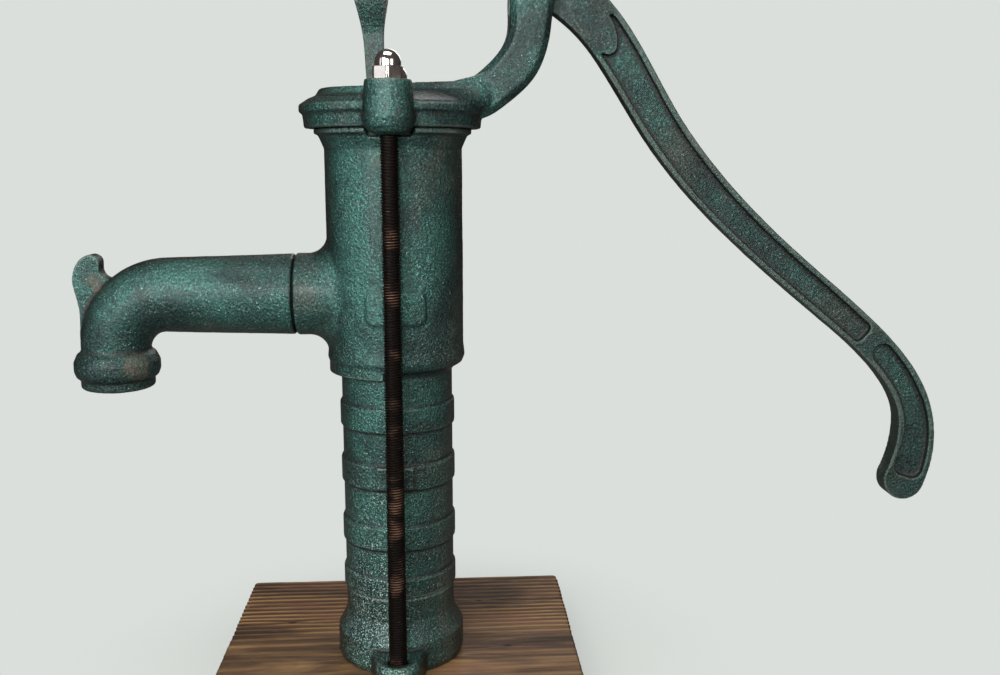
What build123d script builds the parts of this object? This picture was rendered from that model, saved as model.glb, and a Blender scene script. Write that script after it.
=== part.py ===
from build123d import *
import math
import os

os.makedirs("parts", exist_ok=True)

# A hand well pump bolted to a wooden board. Millimetres, +Z up, handle towards +X, spout towards -X.
# The origin is where the pump's upright axis meets the underside of the board.
# Names ending in _Z are heights above that underside.

# ---- Driving dimensions -------------------------------------------------------------------------
BOARD_LENGTH = 292.0
BOARD_WIDTH = 290.0
BOARD_THICK = 30.0
DECK_Z = BOARD_THICK  # top of the board, where the foot stands

BORE_R = 37.5  # three inch class pump barrel
BARREL_R = 43.6
BAND_R = 45.3
CHAMBER_R = 52.7
CHAMBER_WALL = 6.2
CLEAR = 0.05  # radial clearance of a turning or sliding fit
GAP = 0.02  # the same for pieces that are screwed or pressed together

SEAM_Z = DECK_Z + 60.5  # where the body's outer lip meets the foot, all but closed
GASKET_Z = SEAM_Z - 0.6
GASKET_THICK = 3.0
GASKET_R = 40.0
BODY_Z = GASKET_Z + GASKET_THICK
CHAMBER_Z = DECK_Z + 246.0
FLANGE_Z = DECK_Z + 423.0
CAP_TOP_Z = DECK_Z + 452.0
LUG_TOP_Z = DECK_Z + 455.0
LUG_BOTTOM_Z = DECK_Z + 417.0

FOOT_R = 51.0
FOOT_PLATE = 20.0
LUG_R = 18.0
FLANGE_R = 60.0
SKIRT_R = 67.0
RIM_R = 70.5
PLATEAU_R = 56.0
CAP_HOLE_R = 26.0

TIE_CIRCLE_R = 64.0  # tie rods stand at plus and minus this in Y
TIE_R = 7.0  # M14
TIE_HOLE_R = 7.8
NUT_FLATS = 21.0
TIE_END_Z = 2.0
COUNTERBORE_R = 17.0
COUNTERBORE_DEPTH = 18.0

INLET_R = 19.5  # tapping size of a 1-1/4 inch pipe thread
INLET_LENGTH = 24.0
SEAT_R = 18.0
PIPE_HOLE_R = 32.0

SPOUT_Z = DECK_Z + 296.5
SPOUT_JOINT_X = -77.0
SPOUT_BEND_R = 42.0
OUTLET_X = -217.8
OUTLET_Z = DECK_Z + 224.0
OUTLET_BORE_R = 20.5

FULCRUM_X = 106.8
FULCRUM_Z = DECK_Z + 536.0
ARM_REACH = 124.4
ARM_REST_DEG = 8.1
STROKE_DEG = 36.0
FORK_SLOT = 21.0
FORK_CHEEK = 11.0
FULCRUM_PIN_R = 7.0
ROD_PIN_R = 6.0
ROD_FORK_SLOT = 13.0
ROD_FORK_CHEEK = 7.0

PISTON_PIN_Z = DECK_Z + 206.0
PISTON_PIN_R = 4.0
PISTON_PLATE_DROP = 30.0  # from the cross pin down to the top of the piston plate
VALVE_LIFT = 6.0

PIN_X = FULCRUM_X - ARM_REACH * math.cos(math.radians(ARM_REST_DEG))
PIN_Z = FULCRUM_Z + ARM_REACH * math.sin(math.radians(ARM_REST_DEG))


# ---- Helpers ------------------------------------------------------------------------------------
def post(radius, low, high, x=0.0, y=0.0):
    """An upright cylinder between two heights."""
    return Pos(x, y, (low + high) / 2) * Cylinder(radius, high - low)


def spindle(radius, near, far, x, z):
    """A cylinder along Y between two values of Y."""
    return Pos(x, (near + far) / 2, z) * Rot(90, 0, 0) * Cylinder(radius, far - near)


def pipe(radius, start, end, z, end_radius=None):
    """A level cylinder or cone along X, from start down to end, where start is the greater X."""
    length = start - end
    shape = Cone(end_radius, radius, length) if end_radius else Cylinder(radius, length)
    return Pos((start + end) / 2, 0, z) * Rot(0, 90, 0) * shape


def brick(x_low, x_high, y_low, y_high, z_low, z_high):
    """A block between two corners."""
    size = (x_high - x_low, y_high - y_low, z_high - z_low)
    return Pos((x_low + x_high) / 2, (y_low + y_high) / 2, (z_low + z_high) / 2) * Box(*size)


def turned(*points, rounded=0.0):
    """A solid of revolution about Z from an outline of (radius, height), its outer corners rounded."""
    outline = Sketch() + make_face(Polyline(*points, close=True))
    if rounded:
        outline = fillet([v for v in outline.vertices() if v.X > 1.0], rounded)
    return revolve(Plane.XZ * outline, Axis.Z)


def plate(outline, thickness):
    """An (x, z) outline given thickness in Y, centred on the pump's middle plane."""
    return extrude(Plane.XZ * outline, amount=thickness / 2, both=True)


def both_sides(make):
    """The same piece at the front and at the back tie rod."""
    return make(-TIE_CIRCLE_R) + make(TIE_CIRCLE_R)


def hexagon(flats, low, high, x=0.0, y=0.0, turn=30.0):
    """An upright hexagonal bar, given across its flats."""
    outline = RegularPolygon(flats / 2, 6, major_radius=False, rotation=turn)
    return extrude(Pos(x, y, low) * outline, amount=high - low)


# Half of an ear's outline in plan, from the foot's side to beyond the tie rod.
EAR_OUTLINE = (
    (47.5, 17.0),
    (34.0, 31.0),
    (22.0, 45.0),
    (18.0, 64.0),
    (-18.0, 64.0),
    (-22.0, 45.0),
    (-34.0, 31.0),
    (-47.5, 17.0),
)


# ---- Board and foot -----------------------------------------------------------------------------
def mounting_board():
    edge_round = 6.0
    board = brick(-BOARD_LENGTH / 2, BOARD_LENGTH / 2, -BOARD_WIDTH / 2, BOARD_WIDTH / 2, 0, DECK_Z)
    board = fillet(board.edges().filter_by(Axis.Z), edge_round)
    board = fillet(board.faces().sort_by(Axis.Z)[-1].edges(), edge_round / 2)
    board -= post(PIPE_HOLE_R, -1, DECK_Z + 1)
    board -= both_sides(lambda y: post(TIE_HOLE_R, -1, DECK_Z + 1, 0, y))
    board -= both_sides(lambda y: post(COUNTERBORE_R, -1, COUNTERBORE_DEPTH, 0, y))
    return board


def foot_plate():
    """The flat root of the foot, drawn out to an ear at each tie rod."""
    outline = Sketch() + Circle(FOOT_R - 1.5)
    ear = Polygon(*EAR_OUTLINE, align=None) + Pos(0, TIE_CIRCLE_R) * Circle(LUG_R)
    outline += ear + Rot(0, 0, 180) * ear
    bevel = 3.5
    flank = extrude(Pos(0, 0, DECK_Z) * outline, amount=FOOT_PLATE - bevel)
    return flank + extrude(Pos(0, 0, DECK_Z + FOOT_PLATE - bevel) * outline, amount=bevel, taper=40)


def base_casting():
    outer = turned(
        (0, DECK_Z),
        (FOOT_R - 2, DECK_Z),
        (FOOT_R, DECK_Z + 5),
        (FOOT_R, DECK_Z + 24),
        (BARREL_R + 2.5, DECK_Z + 33),
        (BARREL_R, DECK_Z + 41),
        (BARREL_R, GASKET_Z),
        (0, GASKET_Z),
    )
    outer += foot_plate()
    hollow_top = DECK_Z + 48
    outer -= post(BARREL_R - 7, DECK_Z - 1, hollow_top) - post(INLET_R + 7.5, DECK_Z - 1, hollow_top)
    outer -= post(INLET_R, DECK_Z - 1, DECK_Z + INLET_LENGTH)
    outer -= post(SEAT_R, DECK_Z, GASKET_Z + 1)
    outer -= both_sides(lambda y: post(TIE_HOLE_R, DECK_Z - 1, DECK_Z + 60, 0, y))
    outer -= both_sides(lambda y: post(TIE_R + 4.5, DECK_Z + FOOT_PLATE - 1.2, DECK_Z + 60, 0, y))
    return outer


# ---- Foot valve ---------------------------------------------------------------------------------
FLAP_R = 26.0
FLAP_HINGE_X = 31.0
FLAP_RING_R = 32.5
WEIGHT_R = 15.0
WEIGHT_THICK = 6.0
SCREW_R = 4.0


def foot_valve_gasket():
    return post(GASKET_R, GASKET_Z, BODY_Z) - post(FLAP_RING_R, GASKET_Z - 1, BODY_Z + 1)


def foot_valve_flap():
    flap = post(FLAP_R, GASKET_Z, BODY_Z)
    flap += brick(0, FLAP_HINGE_X - 1.0, -9, 9, GASKET_Z, BODY_Z)
    return flap - post(SCREW_R + GAP, GASKET_Z - 1, BODY_Z + 1)


def foot_valve_weight():
    top = BODY_Z + WEIGHT_THICK
    weight = turned((0, BODY_Z), (WEIGHT_R, BODY_Z), (WEIGHT_R - 2, top), (0, top), rounded=1.0)
    return weight - post(SCREW_R + GAP, BODY_Z - 1, top + 1)


def foot_valve_clamp_washer():
    low = GASKET_Z - 2.5
    return post(12.0, low, GASKET_Z) - post(SCREW_R + GAP, low - 1, GASKET_Z + 1)


def foot_valve_screw():
    top = BODY_Z + WEIGHT_THICK
    low = GASKET_Z - 2.5
    shank = post(SCREW_R, low - 4.5, top)
    slotted = turned((0, top), (7.5, top), (6.5, top + 3.5), (0, top + 3.5), rounded=0.8)
    slotted -= brick(-8, 8, -0.8, 0.8, top + 2, top + 4)
    nut = hexagon(12.0, low - 4.0, low) - post(SCREW_R, low - 5, low + 1)
    return shank + slotted + nut


# ---- Pump body ----------------------------------------------------------------------------------
SOCKET_R = 31.8
SOCKET_FLARE = 15.0
LUG_COLUMN_R = 18.8
BAND_HEIGHTS = ((60.5, 76.0), (100.0, 118.0), (148.5, 167.5), (194.0, 212.5))  # above the board


def body_shell():
    """Barrel, wider upper chamber and top flange, one casting."""
    shell = turned(
        (0, SEAM_Z),
        (BARREL_R, SEAM_Z),
        (BARREL_R, CHAMBER_Z - 9),
        (BARREL_R + 3, CHAMBER_Z - 6),
        (CHAMBER_R - 1, CHAMBER_Z - 3),
        (CHAMBER_R + 1, CHAMBER_Z + 2),
        (CHAMBER_R, CHAMBER_Z + 12),
        (CHAMBER_R, FLANGE_Z - 15),
        (FLANGE_R - 3, FLANGE_Z - 5),
        (FLANGE_R, FLANGE_Z - 4),
        (FLANGE_R, FLANGE_Z),
        (0, FLANGE_Z),
    )
    for low, high in BAND_HEIGHTS:
        shell += post(BAND_R, DECK_Z + low, DECK_Z + high)
    return shell


def spout_socket():
    """The boss that the spout is pressed into, flared into the chamber."""
    wall = post(CHAMBER_R - 0.2, SPOUT_Z - 80, SPOUT_Z + 80)
    boss = pipe(SOCKET_R, 0, SPOUT_JOINT_X, SPOUT_Z)
    joined = wall + boss
    reach = 60.0
    crease = joined.edges().filter_by(lambda e: -CHAMBER_R < e.center().X < -20)
    crease = crease.filter_by(lambda e: abs(e.center().Z - SPOUT_Z) < reach)
    crease = crease.filter_by(lambda e: e.bounding_box().size.Y > 5)
    flared = fillet(crease, SOCKET_FLARE)
    return flared & brick(-2 * reach, -8, -reach, reach, SPOUT_Z - reach, SPOUT_Z + reach)


def chamber_plate():
    """A plain raised plate with round corners on the front of the chamber."""
    across, up, corner = 44.0, 24.0, 5.0
    outline = Pos(2.0, SPOUT_Z - 6.0) * RectangleRounded(across, up, corner)
    proud = post(CHAMBER_R + 1.2, CHAMBER_Z, FLANGE_Z)
    return extrude(Plane.XZ * outline, amount=CHAMBER_R + 5) & proud


def band_plaque():
    """A small blank raised plaque on the third band."""
    low, high = BAND_HEIGHTS[2]
    block = brick(-15, 13, -BAND_R - 5, -BORE_R - 2, DECK_Z + low + 1.5, DECK_Z + high - 0.5)
    return block & post(BAND_R + 1.5, BODY_Z, FLANGE_Z)


def lug_recess(y):
    """Where a lug of the cap hangs down beside the chamber."""
    low = LUG_BOTTOM_Z - 0.8
    return post(LUG_COLUMN_R + 0.8, low, FLANGE_Z + 1, 0, y) - post(CHAMBER_R + 0.8, low - 1, FLANGE_Z + 2)


def pump_body():
    chamber_bore = CHAMBER_R - CHAMBER_WALL
    body = body_shell() + spout_socket() + chamber_plate() + band_plaque()
    bore = turned(
        (0, SEAM_Z - 1),
        (BORE_R, SEAM_Z - 1),
        (BORE_R, CHAMBER_Z - 6),
        (chamber_bore, CHAMBER_Z + 6),
        (chamber_bore, FLANGE_Z + 1),
        (0, FLANGE_Z + 1),
    )
    body -= bore
    body -= post(GASKET_R + 0.3, SEAM_Z - 1, BODY_Z)
    body -= pipe(27.0 + GAP, SPOUT_JOINT_X + 17, SPOUT_JOINT_X - 1, SPOUT_Z)
    body -= pipe(23.0, 0, SPOUT_JOINT_X - 1, SPOUT_Z)
    body -= both_sides(lug_recess)
    return body


# ---- Spout --------------------------------------------------------------------------------------
def bend(start_r, end_r):
    """A quarter turn of pipe from level to straight down, tapering on the way."""
    pivot_x = OUTLET_X + SPOUT_BEND_R
    pivot_z = SPOUT_Z - SPOUT_BEND_R
    sections = []
    for step in range(5):
        turn = math.radians(90.0 * step / 4)
        along = (-math.cos(turn), 0, -math.sin(turn))
        centre = (pivot_x - SPOUT_BEND_R * math.sin(turn), 0, pivot_z + SPOUT_BEND_R * math.cos(turn))
        radius = start_r + (end_r - start_r) * step / 4
        sections.append(Plane(origin=centre, x_dir=(0, 1, 0), z_dir=along) * Circle(radius))
    return loft(sections)


def bucket_hook():
    """The prong on top of the bend that keeps a bucket's handle from sliding off."""
    back_x = OUTLET_X - 25.2
    root_z = SPOUT_Z - 34.0
    outer = Spline(
        (back_x, root_z),
        (back_x - 0.4, SPOUT_Z - 5),
        (back_x - 3.2, SPOUT_Z + 13),
        (back_x + 1.5, SPOUT_Z + 26),
        (back_x + 11, SPOUT_Z + 31.6),
        tangents=((0, 1), (1, 0.1)),
    )
    tip = ThreePointArc(
        (back_x + 11, SPOUT_Z + 31.6),
        (back_x + 16.5, SPOUT_Z + 29),
        (back_x + 17.5, SPOUT_Z + 23),
    )
    inner = Spline(
        (back_x + 17.5, SPOUT_Z + 23),
        (back_x + 20, SPOUT_Z + 15),
        (back_x + 36, SPOUT_Z + 17),
        tangents=((-0.1, -1), (1, 0.5)),
    )
    root = ((back_x + 36, SPOUT_Z), (back_x + 12, root_z), (back_x, root_z))
    closing = Polyline((back_x + 36, SPOUT_Z + 17), *root)
    return plate(make_face([outer, tip, inner, closing]), 14.0)


def spout():
    wall = 6.0
    bend_x = OUTLET_X + SPOUT_BEND_R
    bend_z = SPOUT_Z - SPOUT_BEND_R
    outer_r = 29.0
    neck_r = 26.0
    body = pipe(SOCKET_R - 0.4, SPOUT_JOINT_X, bend_x, SPOUT_Z, end_radius=outer_r)
    body += bend(outer_r, neck_r)
    body += bucket_hook()
    outlet = turned(
        (0, OUTLET_Z),
        (25.8, OUTLET_Z),
        (27.6, OUTLET_Z + 2),
        (27.6, OUTLET_Z + 7.5),
        (30.5, OUTLET_Z + 9.5),
        (32.2, OUTLET_Z + 14),
        (32.2, OUTLET_Z + 21),
        (29.5, OUTLET_Z + 27),
        (neck_r, OUTLET_Z + 30),
        (neck_r, bend_z + 2),
        (0, bend_z + 2),
        rounded=0.8,
    )
    body += Pos(OUTLET_X, 0, 0) * outlet
    body += pipe(27.0, SPOUT_JOINT_X + 16, SPOUT_JOINT_X - 1, SPOUT_Z)
    body -= pipe(22.0, SPOUT_JOINT_X + 17, bend_x, SPOUT_Z, end_radius=outer_r - wall)
    body -= bend(outer_r - wall, OUTLET_BORE_R)
    body -= post(OUTLET_BORE_R, OUTLET_Z - 1, bend_z + 0.01, OUTLET_X)
    return body


# ---- Cap and bracket ----------------------------------------------------------------------------
def cap_lug(y):
    """A column on the cap's edge that carries a tie rod's nut, round at its lower end."""
    side = math.copysign(1, y)
    top_r = 16.8
    column = turned(
        (0, LUG_BOTTOM_Z),
        (9.6, LUG_BOTTOM_Z),
        (14.4, LUG_BOTTOM_Z + 2.2),
        (17.6, LUG_BOTTOM_Z + 6.5),
        (LUG_COLUMN_R, LUG_BOTTOM_Z + 12.0),
        (top_r, LUG_TOP_Z),
        (0, LUG_TOP_Z),
    )
    low_y, high_y = sorted((y, side * 44.0))
    root = brick(-top_r, top_r, low_y, high_y, FLANGE_Z + 1, LUG_TOP_Z)
    return Pos(0, y, 0) * column + root


def cap_shell():
    """The cap's skirt, rim and raised plateau, before its holes."""
    return turned(
        (0, FLANGE_Z),
        (SKIRT_R, FLANGE_Z),
        (SKIRT_R + 1, FLANGE_Z + 10.5),
        (RIM_R, FLANGE_Z + 12),
        (RIM_R, FLANGE_Z + 17),
        (PLATEAU_R + 8, FLANGE_Z + 21.5),
        (PLATEAU_R + 2, FLANGE_Z + 24),
        (PLATEAU_R - 1, CAP_TOP_Z),
        (0, CAP_TOP_Z),
        rounded=1.0,
    )


def bracket_outline():
    """The goose neck that carries the fulcrum, seen from the front."""
    top_r = 19.0
    outer = Spline(
        (58, DECK_Z + 430),
        (86, DECK_Z + 441),
        (108.4, DECK_Z + 462.8),
        (118.5, DECK_Z + 491),
        (FULCRUM_X + top_r - 1.5, FULCRUM_Z - 8),
        tangents=((1, 0), (0.25, 1)),
    )
    crown = ThreePointArc(
        (FULCRUM_X + top_r - 1.5, FULCRUM_Z - 8),
        (FULCRUM_X, FULCRUM_Z + top_r),
        (FULCRUM_X - top_r + 1.5, FULCRUM_Z - 8),
    )
    inner = Spline(
        (FULCRUM_X - top_r + 1.5, FULCRUM_Z - 8),
        (86.8, DECK_Z + 491),
        (66, DECK_Z + 464.8),
        (30, DECK_Z + 457.3),
        tangents=((-0.15, -1), (-1, -0.02)),
    )
    closing = Polyline((30, DECK_Z + 457.3), (24, DECK_Z + 456.5), (24, DECK_Z + 440), (58, DECK_Z + 430))
    return make_face([outer, crown, inner, closing])


# The saddle's cross sections, as (x, half width at its foot, height of its foot, height of its crest).
SADDLE_SECTIONS = (
    (8.0, 61.0, DECK_Z + 442.0, DECK_Z + 456.6),
    (28.0, 59.5, DECK_Z + 442.0, DECK_Z + 456.8),
    (46.0, 49.0, DECK_Z + 442.0, DECK_Z + 457.6),
    (62.0, 33.0, DECK_Z + 442.5, DECK_Z + 461.5),
    (76.0, 21.0, DECK_Z + 445.0, DECK_Z + 468.0),
)
SADDLE_ROOT = 5.0


def saddle_section(x, reach, low, high):
    """A hollow-sided hump across the cap."""
    crest = min(reach, 20.5)
    spread = reach - crest
    rise = high - low
    side = [(reach - 1.5, low - SADDLE_ROOT), (reach, low), (crest + spread * 0.52, low + rise * 0.28)]
    side += [(crest + spread * 0.16, low + rise * 0.62), (crest, high)]
    outline = side + [(-y, z) for y, z in reversed(side)]
    return Plane.YZ.offset(x) * make_face(Polyline(*outline, close=True))


def bracket_saddle():
    """The broad hollow-sided root that joins the goose neck to the front and back of the cap."""
    return loft([saddle_section(*row) for row in SADDLE_SECTIONS], ruled=True)


def cap_ledge():
    """The part of the cap beside the saddle that is cut down to the top of the rim."""
    first_x = SADDLE_SECTIONS[0][0]
    beyond = RIM_R + 5
    block = brick(first_x, beyond, -beyond, beyond, FLANGE_Z + 17.5, CAP_TOP_Z + 1)
    return block - post(CAP_HOLE_R + 4, FLANGE_Z, CAP_TOP_Z + 2)


def cap_bracket():
    fork_width = FORK_SLOT + 2 * FORK_CHEEK
    slot_floor = FULCRUM_Z - 29.0
    cap = cap_shell() - cap_ledge()
    cap += both_sides(cap_lug)
    bracket = plate(bracket_outline(), fork_width)
    long_edges = bracket.edges().filter_by(GeomType.BSPLINE)
    bracket = chamfer(long_edges, 5.0) + bracket_saddle()
    bracket -= brick(60, 150, -FORK_SLOT / 2, FORK_SLOT / 2, slot_floor, FULCRUM_Z + 30)
    cap += bracket
    cap -= post(CHAMBER_R - CHAMBER_WALL, FLANGE_Z - 60, FLANGE_Z + 11)
    cap -= post(CHAMBER_R + 1.3, LUG_BOTTOM_Z - 1, FLANGE_Z)
    cap -= post(CAP_HOLE_R, FLANGE_Z, CAP_TOP_Z + 12)
    cap -= both_sides(lambda y: post(TIE_HOLE_R, LUG_BOTTOM_Z - 1, LUG_TOP_Z + 1, 0, y))
    cap -= spindle(FULCRUM_PIN_R + GAP, -40, 40, FULCRUM_X, FULCRUM_Z)
    return cap


# ---- Tie rods and their nuts --------------------------------------------------------------------
CAP_NUT_HEX = 9.0
CAP_NUT_HEIGHT = 21.0
WASHER_THICK = 2.5
NUT_THICK = 11.0


def tie_rods():
    return both_sides(lambda y: post(TIE_R, TIE_END_Z, LUG_TOP_Z + 14.0, 0, y))


def cap_nut(y):
    hex_top = LUG_TOP_Z + CAP_NUT_HEX
    dome_r = 9.2
    nut = hexagon(NUT_FLATS, LUG_TOP_Z, hex_top, 0, y)
    nut += post(dome_r, hex_top, LUG_TOP_Z + CAP_NUT_HEIGHT - dome_r, 0, y)
    nut += Pos(0, y, LUG_TOP_Z + CAP_NUT_HEIGHT - dome_r) * Sphere(dome_r)
    return nut - post(TIE_R + GAP, LUG_TOP_Z - 1, LUG_TOP_Z + 15.0, 0, y)


def board_washer(y):
    low = COUNTERBORE_DEPTH - WASHER_THICK
    return post(14.0, low, COUNTERBORE_DEPTH, 0, y) - post(TIE_R + GAP, low - 1, COUNTERBORE_DEPTH + 1, 0, y)


def board_nut(y):
    high = COUNTERBORE_DEPTH - WASHER_THICK
    return hexagon(NUT_FLATS, high - NUT_THICK, high, 0, y) - post(TIE_R + GAP, 0, high + 1, 0, y)


# ---- Lever --------------------------------------------------------------------------------------
HANDLE_THICK = 17.0
WEB_THICK = 6.0
RIM = 4.4
ARM_THICK = 12.0
TIP_R = 17.0
BOSS_X = 152.0
BOSS_Z = DECK_Z + 502.5
BOSS_TILT = 56.0

# Middle of the handle from the fulcrum to the tip, as (x, height, width).
HANDLE_LINE = (
    (FULCRUM_X, FULCRUM_Z, 36.0),
    (150.0, DECK_Z + 508.0, 34.5),
    (203.4, DECK_Z + 430.0, 31.0),
    (286.0, DECK_Z + 336.8, 27.5),
    (343.3, DECK_Z + 288.3, 26.8),
    (385.8, DECK_Z + 251.0, 25.7),
    (414.8, DECK_Z + 213.2, 25.8),
    (423.6, DECK_Z + 184.0, 29.0),
    (421.5, DECK_Z + 160.0, 33.0),
    (415.8, DECK_Z + 139.5, 33.5),
)
# The short arm from the rod pin to the fulcrum.
ARM_LINE = (
    (PIN_X, PIN_Z, 24.0),
    (PIN_X + 55.0, PIN_Z + 4.0, 25.0),
    (FULCRUM_X, FULCRUM_Z, 36.0),
)


def width_at(line, path, t):
    """The width at a fraction t of the path, straight between the line's stations."""
    stations = [path.param_at_point(Vector(x, z)) for x, z, _ in line]
    for i in range(len(line) - 1):
        if t <= stations[i + 1] or i == len(line) - 2:
            share = (t - stations[i]) / (stations[i + 1] - stations[i])
            return line[i][2] + share * (line[i + 1][2] - line[i][2])


def strip(line, start=0.0, end=1.0, inset=0.0, samples=14):
    """A ribbon along a line of (x, z, width), between two fractions of its length."""
    path = Spline(*[(x, z) for x, z, _ in line])
    sides = ([], [])
    for i in range(samples):
        t = start + (end - start) * i / (samples - 1)
        middle = path @ t
        along = path % t
        half = width_at(line, path, t) / 2 - inset
        sides[0].append((middle.X - along.Y * half, middle.Y + along.X * half))
        sides[1].append((middle.X + along.Y * half, middle.Y - along.X * half))
    near = Line(sides[0][0], sides[1][0])
    far = Line(sides[0][-1], sides[1][-1])
    return make_face([Spline(*sides[0]), far, Spline(*sides[1]), near])


def recess(line, start, end, corner=5.0):
    """The sunk panel between a strip's two rims, cut from both faces."""
    outline = Sketch() + strip(line, start, end, inset=RIM, samples=9)
    outline = fillet(outline.vertices(), corner)
    panel = plate(outline, HANDLE_THICK + 2)
    return panel - plate(outline, WEB_THICK)


def handle_boss():
    """A plain flat swelling on both faces of the handle, below the fulcrum."""
    boss = extrude(Plane.XZ * Ellipse(28.0, 12.6), amount=HANDLE_THICK / 2 + 0.6, both=True)
    return Pos(BOSS_X, 0, BOSS_Z) * Rot(0, BOSS_TILT, 0) * boss


def lever():
    tip_x, tip_z, _ = HANDLE_LINE[-1]
    handle = plate(strip(HANDLE_LINE, samples=18), HANDLE_THICK)
    handle += spindle(TIP_R, -HANDLE_THICK / 2, HANDLE_THICK / 2, tip_x, tip_z)
    handle -= recess(HANDLE_LINE, 0.115, 0.74)
    handle -= recess(HANDLE_LINE, 0.765, 0.995, corner=8.0)
    arm = plate(strip(ARM_LINE), ARM_THICK)
    arm -= recess(ARM_LINE, 0.2, 0.72, corner=4.0)
    boss = FORK_SLOT - 1.0
    shape = handle + arm
    shape += spindle(21.5, -boss / 2, boss / 2, FULCRUM_X, FULCRUM_Z)
    shape += spindle(15.0, -ARM_THICK / 2, ARM_THICK / 2, PIN_X, PIN_Z)
    shape += handle_boss()
    shape -= spindle(FULCRUM_PIN_R + CLEAR, -30, 30, FULCRUM_X, FULCRUM_Z)
    shape -= spindle(ROD_PIN_R + GAP, -30, 30, PIN_X, PIN_Z)
    return shape


# ---- Clevis pins --------------------------------------------------------------------------------
PIN_HEAD = 4.0
PIN_TAIL = 8.0
PIN_WASHER = 2.0
COTTER_R = 1.4


def clevis_pin(radius, grip, x, z):
    """A headed pin with its head at the front and a cross hole at the back."""
    half = grip / 2
    pin = spindle(radius, -half, half + PIN_WASHER + PIN_TAIL, x, z)
    pin += spindle(radius + 3.5, -half - PIN_HEAD, -half, x, z)
    return pin - post(COTTER_R + GAP, z - 20, z + 20, x, cotter_y(grip))


def cotter_y(grip):
    return grip / 2 + PIN_WASHER + COTTER_R + 0.6


def pin_washer(radius, grip, x, z):
    ring = spindle(radius + 5.0, grip / 2, grip / 2 + PIN_WASHER, x, z)
    return ring - spindle(radius + GAP, grip / 2 - 1, grip / 2 + PIN_WASHER + 1, x, z)


def cotter(radius, grip, x, z):
    """A split pin: a straight wire through the cross hole with an eye on top and a bent end."""
    y = cotter_y(grip)
    eye_r = 3.0
    wire = post(COTTER_R, z - radius - 5, z + radius + 1.5, x, y)
    eye = Pos(x, y, z + radius + 1.5 + eye_r) * Rot(90, 0, 0) * Torus(eye_r, COTTER_R * 0.8)
    tail = Pos(x + 3.0, y, z - radius - 5 + COTTER_R) * Rot(0, 90, 0) * Cylinder(COTTER_R, 6.0)
    return wire + eye + tail


FULCRUM_GRIP = FORK_SLOT + 2 * FORK_CHEEK
ROD_GRIP = ROD_FORK_SLOT + 2 * ROD_FORK_CHEEK


# ---- Piston rod and piston ----------------------------------------------------------------------
ROD_THICK = 12.0
ROD_HALF_WIDTH = 7.2
ROD_HEAD_R = 17.0
ROD_EYE_HALF = 15.0
ROD_LENGTH = math.hypot(PIN_X, PIN_Z - PISTON_PIN_Z)
ROD_LEAN_DEG = math.degrees(math.atan2(PIN_X, PIN_Z - PISTON_PIN_Z))


def rod_half_outline():
    """Half of the rod seen from the front, from its middle line outwards, with its foot at zero."""
    top = ROD_LENGTH
    half = ROD_HALF_WIDTH
    crown = Line((0, top), (ROD_HEAD_R, top))
    head = Spline((12.5, top - 34), (16.5, top - 10), (ROD_HEAD_R, top), tangents=((0.2, 1), (0, 1)))
    neck = Spline((12.5, top - 34), (8.2, top - 58), (half, top - 90), tangents=((-0.2, -1), (0, -1)))
    shank = Line((half, top - 90), (half, 45))
    foot = Spline((half, 45), (half + 1, 28), (ROD_EYE_HALF, 4), tangents=((0, -1), (0.3, -1)))
    middle = Polyline((ROD_EYE_HALF, 4), (0, 4), (0, top))
    return make_face([crown, head, neck, shank, foot, middle])


def rod_fork(half_outline):
    """The rod's head, spread in Y to the width of its fork."""
    top = ROD_LENGTH
    half = ROD_GRIP / 2
    root = Line((0, top - 60), (6, top - 60))
    flare = Spline((6, top - 60), (half, top - 36), tangents=((0.1, 1), (0.05, 1)))
    cheek = Polyline((half, top - 36), (half, top + 20), (0, top + 20), (0, top - 60))
    depth = extrude(Plane.YZ * make_face([root, flare, cheek]), amount=25.0, both=True)
    depth += mirror(depth, Plane.XZ)
    head = plate(half_outline, 2 * ROD_GRIP)
    head += mirror(head, Plane.YZ)
    head += spindle(ROD_HEAD_R, -ROD_GRIP, ROD_GRIP, 0, top)
    return head & depth


def piston_rod():
    """A cast bar with a fork at its top and a slotted eye at its foot, leaning to meet both pins."""
    half_outline = rod_half_outline()
    half_thick = ROD_THICK / 2
    bar = plate(half_outline, ROD_THICK)
    bar += mirror(bar, Plane.YZ)
    bar += rod_fork(half_outline)
    bar += spindle(ROD_EYE_HALF - 2, -half_thick, half_thick, 0, 0)
    bar += brick(-ROD_EYE_HALF, ROD_EYE_HALF, -half_thick, half_thick, -4, 5)
    fork_floor = ROD_LENGTH - 19.5
    bar -= brick(-40, 40, -ROD_FORK_SLOT / 2, ROD_FORK_SLOT / 2, fork_floor, ROD_LENGTH + 40)
    bar -= spindle(ROD_PIN_R + CLEAR, -30, 30, 0, ROD_LENGTH)
    slot = SlotOverall(2 * PISTON_PIN_R + 9.4, 2 * PISTON_PIN_R + 3.0)
    bar -= plate(Sketch() + slot, 30.0)
    return Pos(0, 0, PISTON_PIN_Z) * Rot(0, ROD_LEAN_DEG, 0) * bar


def piston_casting():
    """A round plate with a water port, and a yoke above it that holds the cross pin."""
    top = PISTON_PIN_Z - PISTON_PLATE_DROP
    low = top - 10.0
    body = turned((0, low), (32.0, low), (32.0, top - 2), (30.0, top), (0, top), rounded=0.8)
    body += post(26.0, low - 9.0, low + 1)
    for side in (-1, 1):
        legs = sorted((side * 20.5, side * 27.5))
        body += brick(-7, 7, legs[0], legs[1], top - 1, PISTON_PIN_Z + 9)
        blocks = sorted((side * 8.5, side * 27.5))
        body += brick(-9, 9, blocks[0], blocks[1], PISTON_PIN_Z - 9, PISTON_PIN_Z + 9)
    body -= post(14.0, low - 10, top + 1)
    body -= spindle(PISTON_PIN_R + GAP, -40, 40, 0, PISTON_PIN_Z)
    return body


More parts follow.
